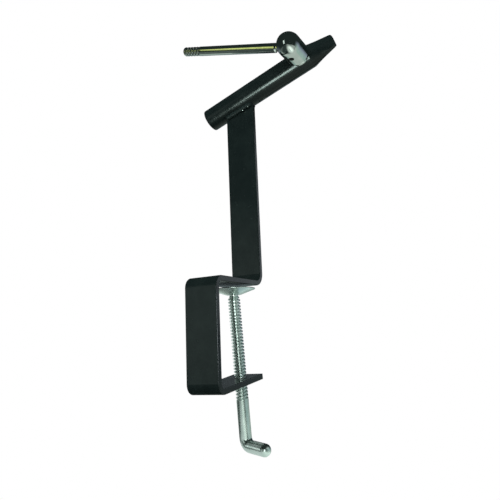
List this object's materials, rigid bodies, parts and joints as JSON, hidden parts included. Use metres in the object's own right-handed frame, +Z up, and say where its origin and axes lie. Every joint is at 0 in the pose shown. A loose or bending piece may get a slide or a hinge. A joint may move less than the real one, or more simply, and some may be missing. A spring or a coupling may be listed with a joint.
{
  "type": "fly tying vise",
  "caption": "Table-clamp fly tying vise: bent strip C-clamp and stem, inclined split jaw rod closed by a lever screw, and a bent-handle clamp screw with a swivel pad.",
  "frame": {"origin": "middle of the table seat, where the clamp screw's axis meets the underside of the upper arm", "axes": "+X to the right along the strip's width, the way the jaws point; +Y away from the user, from the clamp's back towards its mouth; +Z up, along the stem"},
  "size_m": [0.1103, 0.0649, 0.2832],
  "materials": {
    "black_paint": "semi-gloss black enamel",
    "chrome": "bright chrome plate",
    "zinc_plate": "bright zinc plate",
    "bright_steel": "plain steel",
    "black_oxide": "black oxide"
  },
  "bodies": {
    "frame": {"clamp_frame": "black_paint", "weld_bead": "black_paint", "jaw_rod": "black_paint", "fulcrum_screw": "black_oxide", "jaw_spring": "bright_steel", "thrust_washer": "chrome"},
    "jaw": {"moving_jaw": "black_paint"},
    "lever": {"draw_screw": "bright_steel", "lever_hub": "chrome", "lever_rod": "chrome", "hub_grub_screw": "black_oxide"},
    "pad": {"swivel_pad": "zinc_plate"},
    "screw": {"clamp_screw": "zinc_plate"}
  },
  "joints": [
    {"name": "lever_turn", "type": "hinge", "parent": "frame", "child": "lever", "pos_m": [0.05144, 0.01925, 0.15371], "axis": [0, -1, 0], "range_deg": [0, 330]},
    {"name": "jaw_open", "type": "hinge", "parent": "frame", "child": "jaw", "pos_m": [0.01702, 0.02005, 0.14186], "axis": [-0.3256, 0, 0.9455], "range_deg": [0, 1.5]},
    {"name": "pad_travel", "type": "slide", "parent": "frame", "child": "pad", "axis": [0, -0.0958, 0.9954], "range_m": [-0.05, 0.00175]},
    {"name": "screw_turn", "type": "hinge", "parent": "pad", "child": "screw", "pos_m": [0, 0, 0], "axis": [0, -0.0958, 0.9954], "range_deg": [-9002, 317]}
  ],
  "couplings": [
    {"joint": "jaw_open", "follows": "lever_turn", "ratio": 0.0043724},
    {"joint": "screw_turn", "follows": "pad_travel", "rad_per_m": 3141.6}
  ]
}
